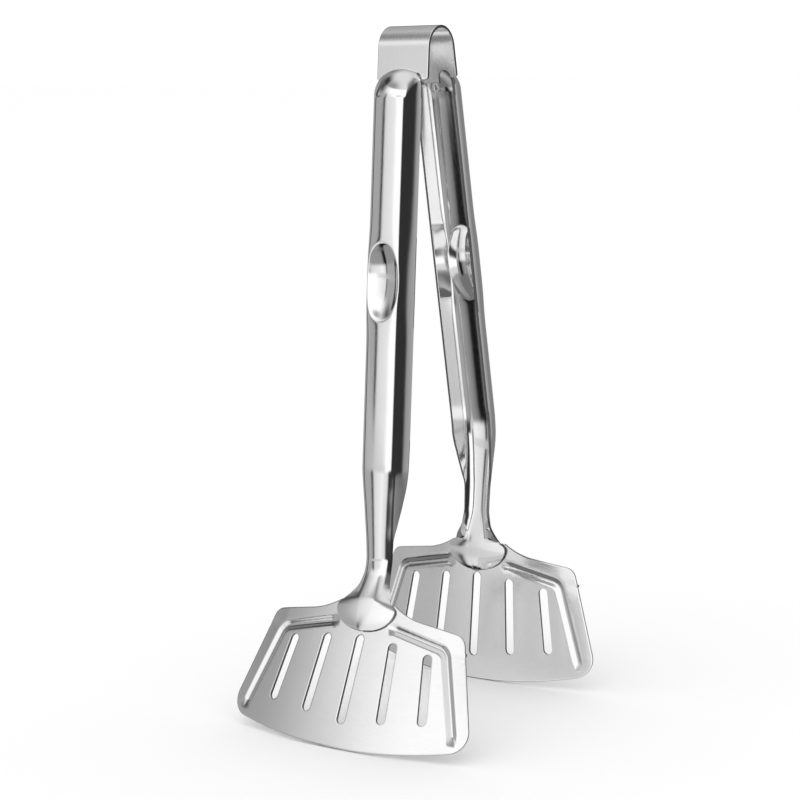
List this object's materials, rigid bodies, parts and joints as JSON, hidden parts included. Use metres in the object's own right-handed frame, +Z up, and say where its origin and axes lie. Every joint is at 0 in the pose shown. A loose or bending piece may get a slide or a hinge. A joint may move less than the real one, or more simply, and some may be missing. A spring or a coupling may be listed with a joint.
{
  "type": "fish tongs",
  "caption": "Serving tongs with two slotted, flared blades on pressed channel arms, joined at the top by a bent flat spring.",
  "frame": {"origin": "on the floor below the middle of the box that holds the whole object, which stands on its two blades", "axes": "+X from the front arm to the rear arm, +Y across the blades, +Z up towards the spring bow"},
  "size_m": [0.1168, 0.1112, 0.2755],
  "materials": {
    "satin_steel": "satin rolled strip, polished edges",
    "polished_steel": "bright polished pressed sheet",
    "blade_steel": "bright polished sheet with fine wipe marks"
  },
  "bodies": {
    "bow": {"spring_bow": "satin_steel"},
    "front_half": {"arm_front": "polished_steel", "blade_front": "blade_steel"},
    "rear_half": {"arm_rear": "polished_steel", "blade_rear": "blade_steel"}
  },
  "joints": [
    {"name": "front_squeeze", "type": "hinge", "parent": "bow", "child": "front_half", "pos_m": [0.01235, 0, 0.27168], "axis": [0, -1, 0], "range_deg": [0, 9.8], "stiffness_Nm_per_rad": 4, "deforming": ["spring_bow"]},
    {"name": "rear_squeeze", "type": "hinge", "parent": "bow", "child": "rear_half", "pos_m": [0.02369, 0, 0.27168], "axis": [0, 1, 0], "range_deg": [0, 9.8], "stiffness_Nm_per_rad": 4, "deforming": ["spring_bow"]}
  ],
  "couplings": [
    {"joint": "rear_squeeze", "follows": "front_squeeze", "ratio": 1}
  ]
}
